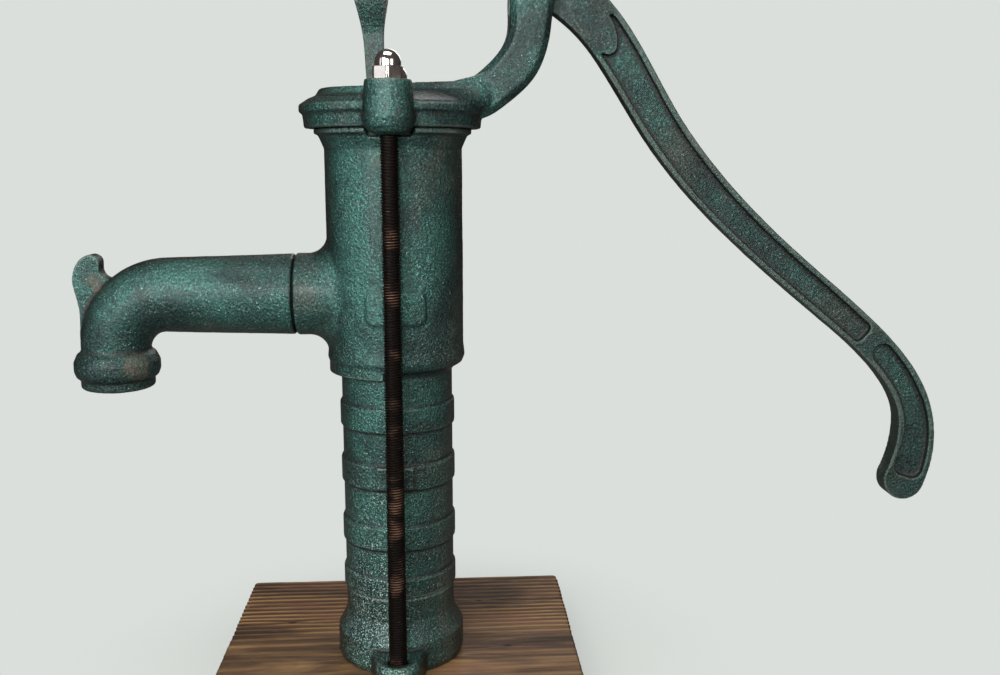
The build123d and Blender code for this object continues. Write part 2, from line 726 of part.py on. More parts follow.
def piston_cup():
    """A cup leather whose lip faces up and seals against the barrel."""
    top = PISTON_PIN_Z - PISTON_PLATE_DROP
    low = top - 14.0
    outer = turned((0, low), (36.0, low), (BORE_R - CLEAR, low + 3), (BORE_R - CLEAR, top + 2), (0, top + 2))
    outer -= post(32.0 + GAP, low + 4.0, top + 5)
    return outer - post(26.0 + GAP, low - 1, low + 5)


def cup_retaining_ring():
    high = PISTON_PIN_Z - PISTON_PLATE_DROP - 14.0
    ring = turned((0, high - 5), (32.5, high - 5), (34.0, high - 3), (34.0, high), (0, high), rounded=0.6)
    return ring - post(26.0 + GAP, high - 6, high + 1)


def piston_cross_pin():
    return spindle(PISTON_PIN_R, -27.0, 27.0, 0, PISTON_PIN_Z)


def piston_valve():
    """A brass disc valve with a winged stem that guides it in the piston's port."""
    top = PISTON_PIN_Z - PISTON_PLATE_DROP
    disc = turned((0, top), (18.0, top), (18.0, top + 3), (12.0, top + 5), (0, top + 5), rounded=0.6)
    stem = post(3.0, top - 16, top)
    for turn in (0, 60, 120):
        stem += Rot(0, 0, turn) * brick(-13.5, 13.5, -1.2, 1.2, top - 16, top)
    return disc + stem


# ---- Write every piece --------------------------------------------------------------------------
PIECES = {
    "mounting_board": mounting_board(),
    "base_casting": base_casting(),
    "foot_valve_gasket": foot_valve_gasket(),
    "foot_valve_flap": foot_valve_flap(),
    "foot_valve_weight": foot_valve_weight(),
    "foot_valve_clamp_washer": foot_valve_clamp_washer(),
    "foot_valve_screw": foot_valve_screw(),
    "pump_body": pump_body(),
    "spout": spout(),
    "cap_bracket": cap_bracket(),
    "tie_rods": tie_rods(),
    "cap_nuts": both_sides(cap_nut),
    "board_washers": both_sides(board_washer),
    "board_nuts": both_sides(board_nut),
    "lever": lever(),
    "fulcrum_pin": clevis_pin(FULCRUM_PIN_R, FULCRUM_GRIP, FULCRUM_X, FULCRUM_Z),
    "fulcrum_washer": pin_washer(FULCRUM_PIN_R, FULCRUM_GRIP, FULCRUM_X, FULCRUM_Z),
    "fulcrum_cotter": cotter(FULCRUM_PIN_R, FULCRUM_GRIP, FULCRUM_X, FULCRUM_Z),
    "rod_pin": clevis_pin(ROD_PIN_R, ROD_GRIP, PIN_X, PIN_Z),
    "rod_pin_washer": pin_washer(ROD_PIN_R, ROD_GRIP, PIN_X, PIN_Z),
    "rod_pin_cotter": cotter(ROD_PIN_R, ROD_GRIP, PIN_X, PIN_Z),
    "piston_rod": piston_rod(),
    "piston_casting": piston_casting(),
    "piston_cup": piston_cup(),
    "cup_retaining_ring": cup_retaining_ring(),
    "piston_cross_pin": piston_cross_pin(),
    "piston_valve": piston_valve(),
}

for name, piece in PIECES.items():
    export_step(piece, f"parts/{name}.step")
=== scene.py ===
import math

import bpy
import numpy as np
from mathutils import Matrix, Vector


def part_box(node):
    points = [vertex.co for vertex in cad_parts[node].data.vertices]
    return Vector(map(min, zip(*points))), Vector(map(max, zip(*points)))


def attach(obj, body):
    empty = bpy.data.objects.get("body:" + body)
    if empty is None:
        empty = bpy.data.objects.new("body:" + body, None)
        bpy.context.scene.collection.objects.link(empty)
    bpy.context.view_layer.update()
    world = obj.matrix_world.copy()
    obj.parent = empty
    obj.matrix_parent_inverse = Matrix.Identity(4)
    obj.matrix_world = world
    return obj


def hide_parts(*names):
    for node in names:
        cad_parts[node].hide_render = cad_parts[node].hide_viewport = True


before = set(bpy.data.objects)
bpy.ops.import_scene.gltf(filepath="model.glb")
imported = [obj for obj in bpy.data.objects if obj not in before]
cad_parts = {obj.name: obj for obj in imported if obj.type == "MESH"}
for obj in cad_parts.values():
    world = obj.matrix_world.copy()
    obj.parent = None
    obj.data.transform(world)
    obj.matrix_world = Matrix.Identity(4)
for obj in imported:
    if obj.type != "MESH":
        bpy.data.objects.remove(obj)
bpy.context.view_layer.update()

MM = 0.001

# ---- Places, from the CAD parts and a few given measures ----------------------------------------
BOARD_LOW, BOARD_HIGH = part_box("mounting_board")
DECK = BOARD_HIGH.z
TIE_LOW, TIE_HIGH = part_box("tie_rods")
TIE_R = (TIE_HIGH.x - TIE_LOW.x) / 2
TIE_Y = TIE_HIGH.y - TIE_R
NUT_LOW, NUT_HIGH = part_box("cap_nuts")
SPOUT_LOW, SPOUT_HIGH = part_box("spout")
SOCKET_DEPTH = 16 * MM  # how far the spout reaches into its socket
SPOUT_HEIGHT = 296.5 * MM  # the spout's axis above the board
SPOUT_JOINT = Vector((SPOUT_HIGH.x - SOCKET_DEPTH, 0, DECK + SPOUT_HEIGHT))
FOOT_LOW, FOOT_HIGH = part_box("base_casting")
LEVER_LOW, LEVER_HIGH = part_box("lever")


# ---- Random values that are the same on every run -----------------------------------------------
def lattice(cells, seed):
    """A fixed random value from 0 to 1 for each whole-numbered cell."""
    mixed = np.sin(cells @ np.array([127.1, 311.7, 74.7]) + seed * 19.19) * 43758.5453
    return mixed - np.floor(mixed)


def lumps(points, size, seed=0):
    """Smooth random values from -1 to 1 that change over about size metres."""
    scaled = points / size
    cell = np.floor(scaled)
    part = scaled - cell
    part = part * part * (3 - 2 * part)
    total = np.zeros(len(points))
    for corner in np.ndindex(2, 2, 2):
        weight = np.prod(np.where(corner, part, 1 - part), axis=1)
        total += weight * lattice(cell + corner, seed)
    return total * 2 - 1


# ---- Mesh helpers -------------------------------------------------------------------------------
def coords(mesh):
    flat = np.empty(len(mesh.vertices) * 3)
    mesh.vertices.foreach_get("co", flat)
    return flat.reshape(-1, 3)


def normals(mesh):
    flat = np.empty(len(mesh.vertices) * 3)
    mesh.vertices.foreach_get("normal", flat)
    return flat.reshape(-1, 3)


def set_coords(mesh, points):
    mesh.vertices.foreach_set("co", points.astype(np.float32).ravel())
    mesh.update()


def store(mesh, name, values):
    """Keeps one number per vertex for the materials to read."""
    attribute = mesh.attributes.new(name, "FLOAT", "POINT")
    attribute.data.foreach_set("value", values.astype(np.float32))


def rise(past, width):
    """0 where past is below 0, then up to 1 over the width."""
    return np.clip(past / width, 0, 1)


def neighbour_mean(mesh, values, rounds):
    """Averages values over each vertex's neighbours, rounds times."""
    pairs = np.empty(len(mesh.edges) * 2, np.int64)
    mesh.edges.foreach_get("vertices", pairs)
    a, b = pairs.reshape(-1, 2).T
    count = np.bincount(a, minlength=len(values)) + np.bincount(b, minlength=len(values))
    for _ in range(rounds):
        columns = []
        for column in values.T:
            total = np.bincount(a, column[b], len(values)) + np.bincount(b, column[a], len(values))
            columns.append(total / np.maximum(count, 1))
        values = np.stack(columns, axis=1)
    return values


def piece(name, mesh, body, node, material, smooth=True):
    """Links a finished mesh as a piece that stands for a CAD node."""
    for polygon in mesh.polygons:
        polygon.use_smooth = smooth
    mesh.materials.clear()
    mesh.materials.append(material)
    made = bpy.data.objects.new(name, mesh)
    bpy.context.scene.collection.objects.link(made)
    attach(made, body)
    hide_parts(node)
    return made


def remeshed(node, voxel, rounds):
    """A fresh closed mesh of a CAD node with even faces and edges softened as a mould leaves them."""
    source = bpy.data.objects.new("source_of_" + node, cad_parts[node].data.copy())
    bpy.context.scene.collection.objects.link(source)
    grid = source.modifiers.new("grid", "REMESH")
    grid.mode = "VOXEL"
    grid.voxel_size = voxel
    soften = source.modifiers.new("soften", "SMOOTH")
    soften.factor = 0.5
    soften.iterations = rounds
    graph = bpy.context.evaluated_depsgraph_get()
    mesh = bpy.data.meshes.new_from_object(source.evaluated_get(graph))
    bpy.data.objects.remove(source)
    return mesh


# ---- Materials ----------------------------------------------------------------------------------
class Shader:
    """A material's node tree, with one short method per kind of node."""

    def __init__(self, name):
        self.material = bpy.data.materials.new(name)
        self.material.use_nodes = True
        self.tree = self.material.node_tree
        self.surface = self.tree.nodes["Principled BSDF"]
        self.place = self.tree.nodes.new("ShaderNodeTexCoord").outputs["Object"]

    def link(self, source, target):
        if hasattr(source, "is_output"):
            self.tree.links.new(source, target)
        else:
            target.default_value = source

    def noise(self, scale, detail=4.0, rough=0.55, stretch=None, warp=0.0):
        node = self.tree.nodes.new("ShaderNodeTexNoise")
        node.inputs["Scale"].default_value = scale
        node.inputs["Detail"].default_value = detail
        node.inputs["Roughness"].default_value = rough
        node.inputs["Distortion"].default_value = warp
        self.link(self.stretched(stretch), node.inputs["Vector"])
        return node.outputs["Fac"]

    def cells(self, scale, feature="F1", stretch=None):
        node = self.tree.nodes.new("ShaderNodeTexVoronoi")
        node.feature = feature
        node.inputs["Scale"].default_value = scale
        self.link(self.stretched(stretch), node.inputs["Vector"])
        return node.outputs["Distance"]

    def stretched(self, stretch):
        if stretch is None:
            return self.place
        node = self.tree.nodes.new("ShaderNodeMapping")
        node.inputs["Scale"].default_value = stretch
        self.link(self.place, node.inputs["Vector"])
        return node.outputs["Vector"]

    def value(self, name):
        node = self.tree.nodes.new("ShaderNodeAttribute")
        node.attribute_name = name
        return node.outputs["Fac"]

    def ramp(self, source, low, high, bottom=0.0, top=1.0):
        """Maps low..high of the source to bottom..top, with soft ends."""
        node = self.tree.nodes.new("ShaderNodeMapRange")
        node.interpolation_type = "SMOOTHSTEP"
        node.inputs["From Min"].default_value = low
        node.inputs["From Max"].default_value = high
        node.inputs["To Min"].default_value = bottom
        node.inputs["To Max"].default_value = top
        self.link(source, node.inputs["Value"])
        return node.outputs["Result"]

    def math(self, operation, a, b):
        node = self.tree.nodes.new("ShaderNodeMath")
        node.operation = operation
        self.link(a, node.inputs[0])
        self.link(b, node.inputs[1])
        return node.outputs[0]

    def mix(self, share, a, b, how="MIX"):
        node = self.tree.nodes.new("ShaderNodeMix")
        node.data_type = "RGBA"
        node.blend_type = how
        self.link(share, node.inputs["Factor"])
        self.link(a, node.inputs["A"])
        self.link(b, node.inputs["B"])
        return node.outputs["Result"]

    def bump(self, height, strength, distance, under=None):
        node = self.tree.nodes.new("ShaderNodeBump")
        node.inputs["Strength"].default_value = strength
        node.inputs["Distance"].default_value = distance
        self.link(height, node.inputs["Height"])
        if under:
            self.link(under, node.inputs["Normal"])
        return node.outputs["Normal"]

    def facing(self):
        """0 where the surface faces the eye and 1 where it turns away."""
        node = self.tree.nodes.new("ShaderNodeLayerWeight")
        node.inputs["Blend"].default_value = 0.5
        return node.outputs["Facing"]

    def finish(self, **inputs):
        for key, source in inputs.items():
            self.link(source, self.surface.inputs[key.replace("_", " ")])
        return self.material


def rgb(red, green, blue):
    return (red, green, blue, 1.0)


def teal_dust_and_shade(s, tone, dust_and_shade, grain):
    """The paint's colour: patchy teal, olive where dusty and as painted shade, with painted shade in its
    pits, and mottled.
    """
    teal = rgb(0.044 * tone, 0.148 * tone, 0.124 * tone)
    deep = rgb(0.013 * tone, 0.039 * tone, 0.035 * tone)
    olive = rgb(0.050 * tone, 0.058 * tone, 0.044 * tone)
    patches = s.ramp(s.noise(14.0, 5.0, 0.6, warp=0.5), 0.36, 0.64)
    # Olive for the dust and for painted shade.
    colour = s.mix(dust_and_shade, s.mix(patches, deep, teal), olive)
    # Painted shade: near-black in the pits of the grain that the bump sinks.
    pit_shade = s.ramp(grain, 0.54, 0.40)
    colour = s.mix(s.math("MULTIPLY", pit_shade, 0.95), colour, rgb(0.005, 0.014, 0.013))
    mottle = s.ramp(s.noise(820.0, 3.0, 0.7), 0.37, 0.63, 0.45, 1.55)
    return s.mix(1.0, colour, mottle, "MULTIPLY"), pit_shade


def painted_glints(s, tone, colour):
    # Painted glints: pale specks where light would sparkle off the metallic paint.
    glint_colour = rgb(0.30 * tone, 0.43 * tone, 0.38 * tone)
    placed = s.math("MULTIPLY", s.value("glint"), 0.14)
    clustered = s.math("MULTIPLY", s.noise(34.0, 3.0), 0.14)
    glint_at = s.math("ADD", s.noise(820.0, 2.0, 0.6), placed)
    glint = s.ramp(s.math("ADD", glint_at, clustered), 0.71, 0.83)
    return s.mix(s.math("MULTIPLY", glint, 0.85), colour, glint_colour)


def painted_edge_highlights(s, tone, colour):
    # Painted highlight: a paler teal along convex edges, where the light catches them.
    ragged = s.math("MULTIPLY", s.noise(150.0), 0.5)
    lit_edge = s.ramp(s.math("ADD", s.value("edge_highlight"), ragged), 0.62, 1.05)
    return s.mix(s.math("MULTIPLY", lit_edge, 0.45), colour, rgb(0.16 * tone, 0.22 * tone, 0.19 * tone))


def hammer_paint(name, tone=1.0, grime=0.5):
    """Metallic teal paint over sand-cast iron, with dust, brown stains, painted shade in its pits and
    hollows, on sides away from the light and where it turns from the eye, painted highlights on its edges,
    and painted glints.
    """
    s = Shader(name)
    dust_and_shade_at = s.math("ADD", s.noise(12.0, 6.0, 0.65, warp=0.7), s.value("dust_and_shade"))
    dust_and_shade = s.ramp(dust_and_shade_at, 0.52, 0.80, 0.0, 0.92)
    grain = s.noise(560.0, 5.0, 0.8)
    colour, pit_shade = teal_dust_and_shade(s, tone, dust_and_shade, grain)
    colour = painted_glints(s, tone, colour)
    # Painted shade: near-black in the hollows found from the mesh's curvature, and a dark line along the
    # spout's joint.
    shade_reach = s.math("ADD", s.value("shade_and_seam"), s.math("MULTIPLY", s.noise(70.0), 0.3))
    shade_and_seam = s.ramp(shade_reach, 0.24, 0.62)
    colour = s.mix(s.math("MULTIPLY", shade_and_seam, 0.95), colour, rgb(0.004, 0.008, 0.007))
    rusty = s.math("ADD", s.noise(23.0, 6.0, 0.7, warp=1.0), s.value("rust"))
    stain = s.ramp(rusty, 0.68, 0.92)
    brown = s.mix(s.noise(300.0), rgb(0.022, 0.012, 0.006), rgb(0.15, 0.105, 0.06))
    colour = s.mix(s.math("MULTIPLY", stain, grime), colour, brown)
    colour = painted_edge_highlights(s, tone, colour)
    # Painted shade: darker where the surface turns away from the eye.
    turned_away_shade = s.ramp(s.facing(), 0.36, 0.90)
    colour = s.mix(s.math("MULTIPLY", turned_away_shade, 0.86), colour, rgb(0.010, 0.013, 0.011))
    height = s.math("ADD", grain, s.math("MULTIPLY", s.cells(420.0), 0.6))
    relief = s.bump(s.noise(150.0, 3.0), 0.5, 0.0009)
    relief = s.bump(height, 1.0, 0.0008, relief)
    dull = s.math("MAXIMUM", s.math("MAXIMUM", stain, shade_and_seam), s.math("MAXIMUM", dust_and_shade, pit_shade))
    sheen = s.ramp(s.noise(420.0, 2.0), 0.3, 0.7, 0.20, 0.34)
    return s.finish(
        Base_Color=colour,
        Roughness=s.math("ADD", sheen, s.math("MULTIPLY", dull, 0.20)),
        Metallic=s.ramp(dull, 0.1, 0.9, 0.72, 0.15),
        Normal=relief,
        Coat_Weight=0.15,
        Coat_Roughness=0.3,
    )


def threaded_steel():
    """Blackened steel thread, coppery where its crests have been rubbed, with the copper shown only where the
    rod faces the eye as a painted glint.
    """
    s = Shader("blackened_thread")
    rubbed = s.ramp(s.noise(24.0, 4.0, 0.6, stretch=(1, 1, 1.6)), 0.50, 0.66)
    crest = s.math("MULTIPLY", s.value("crest"), s.math("MULTIPLY", rubbed, 0.8))
    colour = s.mix(s.noise(180.0), rgb(0.005, 0.004, 0.0035), rgb(0.016, 0.010, 0.008))
    # Painted glint: the rubbed copper shows only where the rod faces the eye.
    middle = s.ramp(s.facing(), 0.60, 0.20)
    colour = s.mix(s.math("MULTIPLY", crest, middle), colour, rgb(0.30, 0.165, 0.105))
    return s.finish(
        Base_Color=colour,
        Metallic=0.8,
        Roughness=s.ramp(s.noise(300.0), 0.2, 0.8, 0.34, 0.55),
        Normal=s.bump(s.noise(900.0), 0.3, 0.0003),
    )


def polished_chrome():
    s = Shader("polished_chrome")
    smear = s.ramp(s.noise(160.0, 5.0, 0.6), 0.35, 0.75, 0.12, 0.22)
    tint = s.mix(s.noise(90.0), rgb(0.50, 0.46, 0.44), rgb(0.62, 0.60, 0.59))
    return s.finish(Base_Color=tint, Metallic=1.0, Roughness=smear, Normal=s.bump(s.noise(60.0), 0.03, 0.001))


def zinc_steel():
    s = Shader("zinc_steel")
    bloom = s.ramp(s.noise(75.0, 5.0, 0.65), 0.4, 0.7)
    tint = s.mix(bloom, rgb(0.50, 0.49, 0.46), rgb(0.28, 0.27, 0.25))
    spots = s.ramp(s.noise(210.0, 4.0, 0.7), 0.62, 0.74)
    tint = s.mix(s.math("MULTIPLY", spots, 0.7), tint, rgb(0.20, 0.09, 0.04))
    return s.finish(
        Base_Color=tint,
        Metallic=0.9,
        Roughness=s.math("ADD", s.math("MULTIPLY", bloom, 0.2), 0.28),
        Normal=s.bump(s.noise(700.0, 2.0), 0.2, 0.0003),
    )


def bare_iron():
    s = Shader("bare_iron")
    tint = s.mix(s.noise(60.0, 6.0, 0.7), rgb(0.055, 0.048, 0.042), rgb(0.17, 0.13, 0.10))
    return s.finish(
        Base_Color=tint,
        Metallic=0.7,
        Roughness=s.ramp(s.noise(90.0), 0.3, 0.7, 0.45, 0.7),
        Normal=s.bump(s.noise(650.0, 4.0), 0.5, 0.0006),
    )


def dull_brass():
    s = Shader("dull_brass")
    tarnish = s.ramp(s.noise(70.0, 5.0, 0.65), 0.4, 0.7)
    turned = s.cells(1.0, stretch=(2, 2, 1400))
    tint = s.mix(tarnish, rgb(0.62, 0.42, 0.16), rgb(0.23, 0.15, 0.06))
    return s.finish(
        Base_Color=tint,
        Metallic=0.95,
        Roughness=s.math("ADD", s.math("MULTIPLY", tarnish, 0.25), 0.25),
        Normal=s.bump(turned, 0.15, 0.0003),
    )


def pump_leather():
    s = Shader("pump_leather")
    creases = s.cells(420.0, "DISTANCE_TO_EDGE")
    tint = s.mix(s.noise(45.0, 6.0, 0.6), rgb(0.075, 0.032, 0.014), rgb(0.21, 0.105, 0.05))
    # Painted shade: darker along the creases.
    tint = s.mix(s.ramp(creases, 0.12, 0.0, 0.0, 0.6), tint, rgb(0.03, 0.014, 0.008))
    return s.finish(
        Base_Color=tint,
        Roughness=s.ramp(s.noise(200.0), 0.3, 0.7, 0.5, 0.75),
        Normal=s.bump(creases, 0.5, 0.0005),
    )


def brushed_wood():
    """Stained softwood brushed so that its hard rings stand up as ridges, paler partly from the stain and
    partly as a painted highlight on their crests.
    """
    s = Shader("brushed_wood")
    ridge = s.value("ridge")
    fibre = s.noise(1.0, 6.0, 0.7, stretch=(22, 520, 520), warp=0.3)
    broad = s.noise(1.0, 4.0, 0.6, stretch=(5, 26, 26), warp=0.8)
    warm = s.noise(1.0, 3.0, 0.5, stretch=(9, 30, 30))
    valley = s.mix(s.ramp(broad, 0.40, 0.60), rgb(0.028, 0.015, 0.009), rgb(0.072, 0.036, 0.018))
    crest = s.mix(s.ramp(broad, 0.40, 0.60), rgb(0.105, 0.060, 0.029), rgb(0.270, 0.158, 0.068))
    # Crests paler than the valleys: partly the stain, partly a painted highlight on the crests.
    colour = s.mix(s.ramp(ridge, 0.1, 0.9), valley, crest)
    colour = s.mix(s.ramp(warm, 0.50, 0.70, 0.0, 0.55), colour, rgb(0.150, 0.072, 0.042))
    colour = s.mix(s.ramp(fibre, 0.54, 0.70, 0.0, 0.45), colour, rgb(0.026, 0.015, 0.010))
    colour = s.mix(s.ramp(fibre, 0.42, 0.32, 0.0, 0.40), colour, rgb(0.290, 0.200, 0.125))
    colour = s.mix(s.ramp(s.value("knot"), 0.30, 0.85), colour, rgb(0.014, 0.008, 0.005))
    colour = s.mix(s.value("end"), colour, rgb(0.020, 0.012, 0.009))
    return s.finish(
        Base_Color=colour,
        Roughness=s.ramp(fibre, 0.3, 0.7, 0.50, 0.70),
        Specular_IOR_Level=0.25,
        Normal=s.bump(fibre, 0.45, 0.0006),
    )


GREEN = hammer_paint("hammered_green")
DARK_GREEN = hammer_paint("handled_green", tone=0.60, grime=0.75)
THREAD = threaded_steel()
CHROME = polished_chrome()
ZINC = zinc_steel()
IRON = bare_iron()
BRASS = dull_brass()
LEATHER = pump_leather()
WOOD = brushed_wood()


# ---- Castings -----------------------------------------------------------------------------------
BORE_SKIN = 47.5 * MM  # inside this radius the pump body is all but hidden, so it is thinned out
FACES_LEFT = 0.62  # the share of the whole body's faces left after that
GROOVE_BORE = 29 * MM  # the groove at the spout's joint stays outside this radius
GROOVE_DEPTH = 1.1 * MM
GROOVE_WIDTH = 1.3 * MM
CURVE_GAIN = 2.4


def sand_skin(points):
    """How far a sand mould leaves the surface out of true, in metres."""
    fine = 0.05 * lumps(points, 2.4 * MM, 1)
    middling = 0.09 * lumps(points, 7 * MM, 2)
    broad = 0.24 * lumps(points, 26 * MM, 3)
    return (fine + middling + broad) * MM


def thinned(mesh, inside, ratio):
    """The mesh with fewer faces where inside is true."""
    holder = bpy.data.objects.new("thinning", mesh)
    bpy.context.scene.collection.objects.link(holder)
    group = holder.vertex_groups.new(name="thin")
    group.add(np.flatnonzero(inside).tolist(), 1.0, "REPLACE")
    fewer = holder.modifiers.new("fewer", "DECIMATE")
    fewer.ratio = ratio
    fewer.vertex_group = "thin"
    fewer.vertex_group_factor = 20.0
    graph = bpy.context.evaluated_depsgraph_get()
    done = bpy.data.meshes.new_from_object(holder.evaluated_get(graph))
    bpy.data.objects.remove(holder)
    return done


def curvature(mesh, points, outward, voxel):
    """Above 0 in hollows and below 0 on edges, smoothed a little."""
    near = neighbour_mean(mesh, points, 5)
    bend = np.einsum("ij,ij->i", near - points, outward) / voxel
    return CURVE_GAIN * neighbour_mean(mesh, bend[:, None], 2)[:, 0]


def from_axis(points):
    return np.hypot(points[:, 0], points[:, 1])


def seam_groove(node, points):
    """1 along the joint between the spout and its socket, fading to 0 within 3 mm."""
    if node not in ("spout", "pump_body"):
        return np.zeros(len(points))
    outside = np.hypot(points[:, 1], points[:, 2] - SPOUT_JOINT.z) > GROOVE_BORE
    away = np.abs(points[:, 0] - SPOUT_JOINT.x)
    return outside * np.exp(-((away / GROOVE_WIDTH) ** 2))


def casting(node, body, material, voxel, rounds=2, relief=1.0):
    """A sand casting: the CAD shape with soft edges, an uneven skin, and its hollows marked for painted shade
    and its edges for painted highlights.
    """
    mesh = remeshed(node, voxel, rounds)
    if node == "pump_body":
        mesh = thinned(mesh, from_axis(coords(mesh)) < BORE_SKIN, FACES_LEFT)
    points = coords(mesh)
    outward = normals(mesh)
    depth = sand_skin(points) * relief
    if node == "pump_body":
        depth *= rise(from_axis(points) - BORE_SKIN, MM)
    groove = seam_groove(node, points)
    shaped = points + outward * (depth - GROOVE_DEPTH * groove)[:, None]
    bend = curvature(mesh, points, outward, voxel)
    set_coords(mesh, shaped)
    # Painted shade in the hollows, and the dark line along the spout's joint.
    store(mesh, "shade_and_seam", np.clip(bend + groove, 0, 1))
    # Convex edges, for the painted highlight.
    store(mesh, "edge_highlight", np.clip(-bend, 0, 1) * (1 - groove))
    store(mesh, "rust", rust_map(node, shaped))
    # Dust, and painted shade on the sides away from the light.
    store(mesh, "dust_and_shade", dust_and_shade_map(node, shaped))
    # Where painted glints lie.
    store(mesh, "glint", glint_map(node, shaped))
    return piece("cast_" + node, mesh, body, node, material)


def blob(points, centre, radius, strength):
    """A soft round patch."""
    away = np.sum((points - np.array(centre)) ** 2, axis=1)
    return strength * np.exp(-away / radius**2)


def rust_map(node, points):
    """Where water and handling have left brown stains, from 0 to about 0.35."""
    stain = np.zeros(len(points))
    if node == "spout":
        stain += blob(points, (SPOUT_LOW.x + 58 * MM, -20 * MM, SPOUT_LOW.z + 26 * MM), 17 * MM, 0.34)
        stain += blob(points, (SPOUT_LOW.x + 21 * MM, -7 * MM, SPOUT_HIGH.z - 20 * MM), 11 * MM, 0.34)
        stain += blob(points, (SPOUT_LOW.x + 50 * MM, -24 * MM, SPOUT_LOW.z + 14 * MM), 14 * MM, 0.26)
    if node == "base_casting":
        stain += 0.10 * rise(FOOT_LOW.z + 15 * MM - points[:, 2], 20 * MM)
    if node == "lever":
        stain += blob(points, (LEVER_HIGH.x - 24 * MM, 0, LEVER_LOW.z + 18 * MM), 20 * MM, 0.24)
    if node == "pump_body":
        stain += blob(points, (-9 * MM, -51 * MM, DECK + 398 * MM), 11 * MM, 0.30)
    if node == "piston_rod":
        stain += 0.12
    return stain


def dust_and_shade_map(node, points):
    """Where grey dust has settled, with painted shade on the body's right side and under the spout, from
    about -0.1 to 0.3.
    """
    x, y, z = points.T
    turn = np.arctan2(x, -y)
    if node in ("pump_body", "base_casting"):
        # Painted shade: olive on the body's right side, away from the key light; a little dust on its far
        # left edge.
        side = 0.22 * rise(turn - 0.2, 0.9) + 0.05 * rise(-turn - 0.9, 0.5)
        socket = (SPOUT_JOINT.x + 16 * MM, -24 * MM, SPOUT_JOINT.z - 6 * MM)
        low = rise(DECK + 260 * MM - z, 200 * MM)
        return side + blob(points, socket, 26 * MM, 0.22) + 0.10 * low - 0.05
    if node == "spout":
        # Painted shade: olive under the spout near its joint.
        low = rise(SPOUT_JOINT.z - 6 * MM - z, 20 * MM) * rise(x - SPOUT_LOW.x - 50 * MM, 20 * MM)
        high = rise(z - SPOUT_JOINT.z - 20 * MM, 10 * MM)
        return 0.16 * low + 0.05 * high - 0.07
    if node == "cap_bracket":
        return 0.10 * rise(DECK + 460 * MM - z, 20 * MM) - 0.08
    return np.full(len(points), 0.11)


def glint_map(node, points):
    """Where painted glints lie on the paint, from 0 to 1."""
    x, _, z = points.T
    if node in ("pump_body", "base_casting"):
        return 0.05 + 0.85 * rise(DECK + 200 * MM - z, 140 * MM) * rise(20 * MM - x, 30 * MM)
    if node == "spout":
        return np.full(len(points), 0.10)
    return np.zeros(len(points))


# ---- Threaded rods and acorn nuts ---------------------------------------------------------------
PITCH = 2.0 * MM
THREAD_DEPTH = 1.2 * MM
THREAD_SIDES = 28
THREAD_ROWS = ((0.0, 0.0), (0.0, 0.14), (1.0, 0.52), (1.0, 0.64))  # (share of the depth, share of the pitch)


def thread_faces(rows):
    """Faces of a sheared grid that climbs one pitch in each turn."""
    sides = THREAD_SIDES
    faces = []
    for row in range(rows - 1):
        for side in range(sides - 1):
            here = row * sides + side
            faces.append((here, here + 1, here + 1 + sides, here + sides))
        here = row * sides + sides - 1
        joined = row + len(THREAD_ROWS)
        if joined + 1 < rows:
            faces.append((here, joined * sides, (joined + 1) * sides, here + sides))
    return faces


def thread_mesh(y, low, high, radius):
    """Vertices and faces of a helical thread, and which vertices are on its crest."""
    turns = int((high - low) / PITCH) + 3
    vertices, crests = [], []
    for turn in range(-1, turns):
        for inward, share in THREAD_ROWS:
            for side in range(THREAD_SIDES):
                angle = 2 * math.pi * side / THREAD_SIDES
                height = low + (turn + share + side / THREAD_SIDES) * PITCH
                height = min(max(height, low), high)
                end = min(height - low, high - height)
                r = radius - max(inward * THREAD_DEPTH, THREAD_DEPTH - end)
                vertices.append((r * math.cos(angle), y + r * math.sin(angle), height))
                crests.append(1.0 - inward)
    return vertices, thread_faces(len(vertices) // THREAD_SIDES), crests


def tie_rods():
    vertices, faces, crests = [], [], []
    for y in (-TIE_Y, TIE_Y):
        new_vertices, new_faces, new_crests = thread_mesh(y, TIE_LOW.z, TIE_HIGH.z, TIE_R - 0.1 * MM)
        start = len(vertices)
        vertices += new_vertices
        crests += new_crests
        faces += [tuple(start + i for i in face) for face in new_faces]
    mesh = bpy.data.meshes.new("tie_rods_threaded")
    mesh.from_pydata(vertices, [], faces)
    store(mesh, "crest", np.array(crests))
    return piece("tie_rods_threaded", mesh, "frame", "tie_rods", THREAD, smooth=False)


def ring_stack(rings, centre):
    """A closed mesh from rings of points, each a list of (x, y, z) round the centre, capped at both ends."""
    sides = len(rings[0])
    vertices = [point for ring in rings for point in ring]
    faces = []
    for row in range(len(rings) - 1):
        for side in range(sides):
            a = row * sides + side
            b = row * sides + (side + 1) % sides
            faces.append((a, b, b + sides, a + sides))
    faces.append(tuple(reversed(range(sides))))
    faces.append(tuple(range(len(vertices) - sides, len(vertices))))
    return [(x + centre[0], y + centre[1], z + centre[2]) for x, y, z in vertices], faces


NUT_SIDES = 96
NUT_ANGLES = [2 * math.pi * side / NUT_SIDES for side in range(NUT_SIDES)]
HEX_SHARE = 0.43  # the hexagon's share of the nut's height
DOME_SHARE = 0.445  # the dome's radius as a share of the width across the flats
CORNER = 1.135  # how far a blunt corner reaches, as a share of half that width
BEVEL = 0.9 * MM
DOME_STEPS = 25


def ring(reaches, z):
    """Points round the axis at one height, each at its own reach."""
    return [(r * math.cos(a), r * math.sin(a), z) for r, a in zip(reaches, NUT_ANGLES)]


def circle(radius, z):
    return ring([radius] * NUT_SIDES, z)


def hexagon(flats, top, z):
    """A hexagon with its corners cut back to the radius top."""
    turns = [(a + math.pi / 6) % (math.pi / 3) - math.pi / 6 for a in NUT_ANGLES]
    return ring([min(flats / 2 / math.cos(turn), top) for turn in turns], z)


